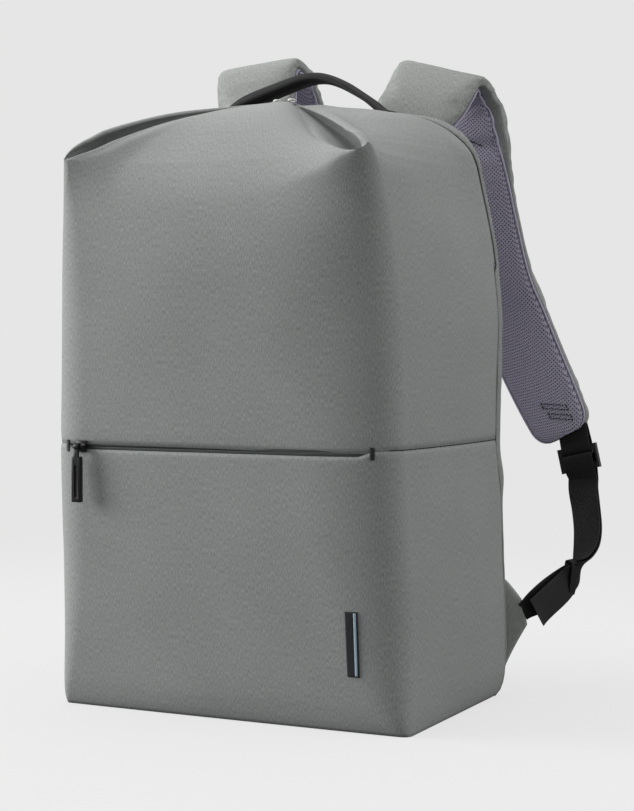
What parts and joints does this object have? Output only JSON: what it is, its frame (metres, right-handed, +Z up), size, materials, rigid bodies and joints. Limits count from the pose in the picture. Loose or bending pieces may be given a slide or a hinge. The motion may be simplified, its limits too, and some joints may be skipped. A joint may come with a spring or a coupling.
{
  "type": "laptop backpack",
  "caption": "Tall soft laptop backpack with an envelope-folded top, padded shoulder straps, a top handle and a straight front pocket zip; it stands on its flat base.",
  "frame": {"origin": "on the floor, under the middle of the whole object's box", "axes": "+Z up, -Y to the front with the pocket zip, +X to the right as seen from the front"},
  "size_m": [0.4042, 0.3046, 0.5138],
  "materials": {
    "grey_cloth": "matt coated woven cloth",
    "band_cloth": "matt coated woven cloth",
    "strap_cloth": "matt coated woven cloth",
    "mesh_cloth": "open spacer mesh",
    "webbing": "woven nylon webbing",
    "zip_tape": "coated zip tape",
    "pale_cord": "braided cord",
    "black_metal": "satin black",
    "black_plastic": "moulded black",
    "label_black": "woven label",
    "label_blue": "woven label"
  },
  "bodies": {
    "bag": {"lower_shell": "grey_cloth", "upper_shell": "grey_cloth", "base_panel": "grey_cloth", "back_band": "band_cloth", "strap_pad_right": "strap_cloth", "strap_pad_left": "strap_cloth", "anchor_tab_right": "strap_cloth", "anchor_tab_left": "strap_cloth", "back_panel": "mesh_cloth", "strap_mesh_right": "mesh_cloth", "strap_mesh_left": "mesh_cloth", "top_handle": "webbing", "bartack_left": "webbing", "bartack_right": "webbing", "strap_loop_right": "webbing", "strap_loop_left": "webbing", "adjuster_web_right": "webbing", "adjuster_web_left": "webbing", "web_keeper_right": "webbing", "web_keeper_left": "webbing", "main_zip": "zip_tape", "front_zip": "zip_tape", "main_zip_pull_left": "pale_cord", "main_zip_pull_right": "pale_cord", "front_zip_slider": "black_metal", "ladder_lock_right": "black_plastic", "ladder_lock_left": "black_plastic", "label_patch": "label_black", "label_stripe": "label_blue"},
    "zip_pull": {"front_zip_pull": "black_metal"}
  },
  "joints": [
    {"name": "pull_swing", "type": "hinge", "parent": "bag", "child": "zip_pull", "pos_m": [-0.11392, -0.14932, 0.2], "axis": [-1, 0, 0], "range_deg": [0, 150]}
  ]
}
